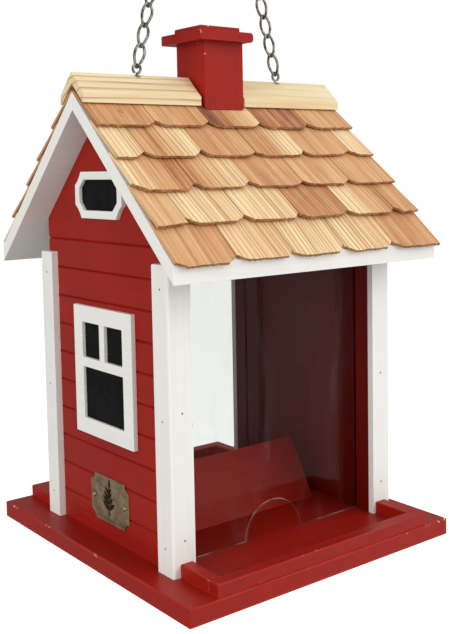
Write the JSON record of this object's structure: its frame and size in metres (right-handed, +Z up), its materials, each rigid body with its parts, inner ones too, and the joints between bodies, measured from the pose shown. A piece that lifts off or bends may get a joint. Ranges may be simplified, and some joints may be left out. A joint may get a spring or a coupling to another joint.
{
  "type": "hanging hopper bird feeder",
  "caption": "Hanging two-sided hopper bird feeder shaped like a small farmhouse, with shingled gable roof, clear panels, seed trays and a lift-off chimney on two chains.",
  "frame": {"origin": "the hang point: inner top of the S-hook's upper bow", "axes": "+Z up, X along the roof ridge with -X the gable that carries the plaque, Y across the eaves with -Y the front tray"},
  "size_m": [0.254, 0.272, 0.6927],
  "materials": {
    "barn_red": "satin barn-red paint on planed softwood",
    "white_trim": "satin white paint on wood",
    "cedar_shingle": "bare sawn cedar with straight dark grain",
    "pine_ridge": "bare planed pine",
    "clear_acrylic": "clear polished acrylic sheet",
    "black_pane": "semi-matt black",
    "antique_brass": "antiqued brass",
    "steel_chain": "bright zinc-plated steel wire, a little dulled",
    "zinc_fastener": "zinc-plated steel"
  },
  "bodies": {
    "hook": {"hanging_hook": "steel_chain"},
    "ring": {"hanging_ring": "steel_chain"},
    "chains": {"near_chain": "steel_chain", "far_chain": "steel_chain"},
    "chimney": {"chimney_column": "barn_red", "chimney_crown": "barn_red", "chimney_top_plate": "barn_red", "chimney_plug": "barn_red"},
    "feeder": {"base_board": "barn_red", "front_tray_rail": "barn_red", "front_tray_end_near": "barn_red", "front_tray_end_far": "barn_red", "back_tray_rail": "barn_red", "back_tray_end_near": "barn_red", "back_tray_end_far": "barn_red", "near_gable_wall": "barn_red", "front_corner_trim_near": "white_trim", "front_panel_cleats_near": "barn_red", "back_corner_trim_near": "white_trim", "back_panel_cleats_near": "barn_red", "far_gable_wall": "barn_red", "front_corner_trim_far": "white_trim", "front_panel_cleats_far": "barn_red", "back_corner_trim_far": "white_trim", "back_panel_cleats_far": "barn_red", "front_clear_panel": "clear_acrylic", "front_baffle_board": "barn_red", "back_clear_panel": "clear_acrylic", "back_baffle_board": "barn_red", "trim_brads": "zinc_fastener", "base_screws": "zinc_fastener", "near_window_frame": "white_trim", "near_window_pane": "black_pane", "near_gable_window_frame": "white_trim", "near_gable_window_pane": "black_pane", "far_window_frame": "white_trim", "far_window_pane": "black_pane", "far_gable_window_frame": "white_trim", "far_gable_window_pane": "black_pane", "plaque": "antique_brass", "plaque_nails": "antique_brass", "front_roof_board": "white_trim", "front_shingle_course_1": "cedar_shingle", "front_shingle_course_2": "cedar_shingle", "front_shingle_course_3": "cedar_shingle", "front_shingle_course_4": "cedar_shingle", "front_shingle_course_5": "cedar_shingle", "back_roof_board": "white_trim", "back_shingle_course_1": "cedar_shingle", "back_shingle_course_2": "cedar_shingle", "back_shingle_course_3": "cedar_shingle", "back_shingle_course_4": "cedar_shingle", "back_shingle_course_5": "cedar_shingle", "near_ridge_cap": "pine_ridge", "far_ridge_cap": "pine_ridge", "near_screw_eye": "steel_chain", "far_screw_eye": "steel_chain"}
  },
  "joints": [
    {"name": "ring_sway", "type": "hinge", "parent": "hook", "child": "ring", "pos_m": [0, 0, -0.03025], "axis": [0, 1, 0], "range_deg": [-30, 30]},
    {"name": "chain_swing", "type": "hinge", "parent": "ring", "child": "chains", "pos_m": [0, 0, -0.05246], "axis": [1, 0, 0], "range_deg": [-35, 35]},
    {"name": "feeder_swing", "type": "hinge", "parent": "chains", "child": "feeder", "pos_m": [0, 0, -0.31367], "axis": [1, 0, 0], "range_deg": [-35, 35]},
    {"name": "chimney_lift", "type": "slide", "parent": "feeder", "child": "chimney", "axis": [0, 0, 1], "range_m": [0, 0.06]}
  ]
}
